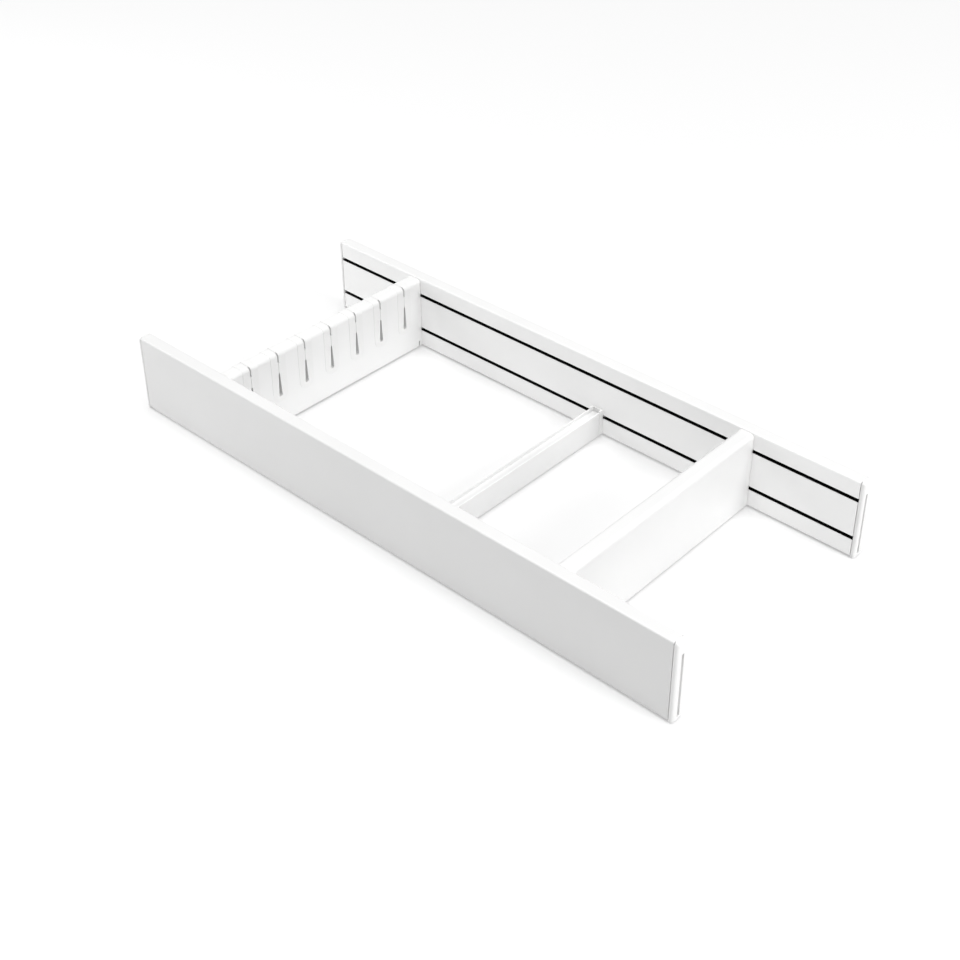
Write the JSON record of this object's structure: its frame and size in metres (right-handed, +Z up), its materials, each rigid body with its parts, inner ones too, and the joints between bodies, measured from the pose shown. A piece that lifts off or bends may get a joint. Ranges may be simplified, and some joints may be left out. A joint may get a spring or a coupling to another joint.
{
  "type": "drawer organizer insert",
  "caption": "Drawer insert of two grooved side rails with end caps, spanned by a slotted comb divider, a low divider and a tall divider that slide along the rails.",
  "frame": {"origin": "middle of the footprint, on the surface that the feet of the end caps stand on", "axes": "+X along the rails, from the comb divider's end to the plain tall divider's end; +Y from the front rail to the back rail; +Z up"},
  "size_m": [0.47, 0.201, 0.0595],
  "materials": {
    "profile": "white powder coat, matt",
    "glide_strip": "black, matt",
    "end_cap": "white moulding, fine satin texture",
    "connector": "white moulding, satin gloss",
    "divider": "white plastic, satin",
    "slot_grip": "off-white soft plastic, matt, slightly translucent"
  },
  "bodies": {
    "frame": {"front_profile": "profile", "back_profile": "profile", "front_upper_glide_strip": "glide_strip", "front_lower_glide_strip": "glide_strip", "back_upper_glide_strip": "glide_strip", "back_lower_glide_strip": "glide_strip", "front_left_end_cap": "end_cap", "front_right_end_cap": "end_cap", "back_left_end_cap": "end_cap", "back_right_end_cap": "end_cap"},
    "comb": {"comb_divider": "divider", "comb_front_connector": "connector", "comb_back_connector": "connector", "slot_grip_1": "slot_grip", "slot_grip_2": "slot_grip", "slot_grip_3": "slot_grip", "slot_grip_4": "slot_grip", "slot_grip_5": "slot_grip", "slot_grip_6": "slot_grip", "slot_grip_7": "slot_grip"},
    "low": {"low_divider": "divider", "low_front_connector": "connector", "low_back_connector": "connector"},
    "tall": {"tall_divider": "divider", "tall_front_connector": "connector", "tall_back_connector": "connector"}
  },
  "joints": [
    {"name": "comb_slide", "type": "slide", "parent": "frame", "child": "comb", "axis": [1, 0, 0], "range_m": [-0.07, 0.08]},
    {"name": "low_slide", "type": "slide", "parent": "frame", "child": "low", "axis": [1, 0, 0], "range_m": [-0.08, 0.055]},
    {"name": "tall_slide", "type": "slide", "parent": "frame", "child": "tall", "axis": [1, 0, 0], "range_m": [-0.05, 0.075]}
  ]
}
